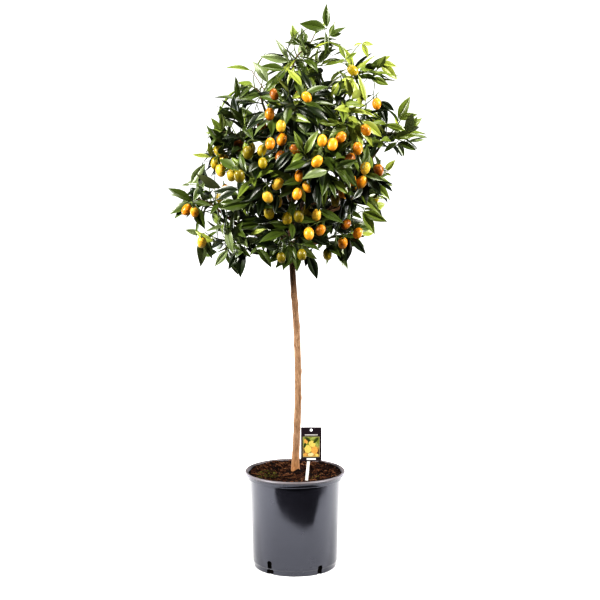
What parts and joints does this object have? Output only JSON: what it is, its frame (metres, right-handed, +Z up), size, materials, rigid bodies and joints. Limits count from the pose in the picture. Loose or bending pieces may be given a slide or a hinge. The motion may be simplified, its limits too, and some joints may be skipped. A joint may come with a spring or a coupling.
{
  "type": "potted kumquat tree",
  "caption": "Young kumquat tree on one clear stem with a dense rounded leafy crown hung with small oval fruit, standing in a round plastic nursery pot with a plant label.",
  "frame": {"origin": "centre of the pot's flat underside, on the floor", "axes": "+Z up along the stem, -Y towards the front with the plant label, +X to the right as seen from the front"},
  "size_m": [0.6644, 0.606, 1.4552],
  "materials": {
    "pot_plastic": "semi-gloss dark grey moulded plastic",
    "potting_mix": "rough damp bark and peat mix",
    "bark": "matt young bark",
    "foliage": "glossy leaves with small orange fruit",
    "label_card": "satin printed card",
    "label_stake": "satin white plastic"
  },
  "bodies": {
    "root": {"bough_back_middle": "bark", "bough_front_left": "bark", "bough_front_middle": "bark", "bough_front_right": "bark", "bough_left_back": "bark", "bough_left_far": "bark", "bough_left_high": "bark", "bough_low_back_left": "bark", "bough_low_back_right": "bark", "bough_low_front": "bark", "bough_low_left": "bark", "bough_low_right": "bark", "bough_right_back": "bark", "bough_right_far": "bark", "bough_right_high": "bark", "bough_right_middle": "bark", "bough_upper_back": "bark", "bough_upper_front": "bark", "bough_upper_left": "bark", "bough_upper_right": "bark", "foliage_back_middle": "foliage", "foliage_front_left": "foliage", "foliage_front_middle": "foliage", "foliage_front_right": "foliage", "foliage_left_back": "foliage", "foliage_left_far": "foliage", "foliage_left_high": "foliage", "foliage_low_back_left": "foliage", "foliage_low_back_right": "foliage", "foliage_low_front": "foliage", "foliage_low_left": "foliage", "foliage_low_right": "foliage", "foliage_right_back": "foliage", "foliage_right_far": "foliage", "foliage_right_high": "foliage", "foliage_right_middle": "foliage", "foliage_top": "foliage", "foliage_upper_back": "foliage", "foliage_upper_front": "foliage", "foliage_upper_left": "foliage", "foliage_upper_right": "foliage", "label_card": "label_card", "label_stake": "label_stake", "pot": "pot_plastic", "soil": "potting_mix", "trunk": "bark"}
  },
  "joints": []
}
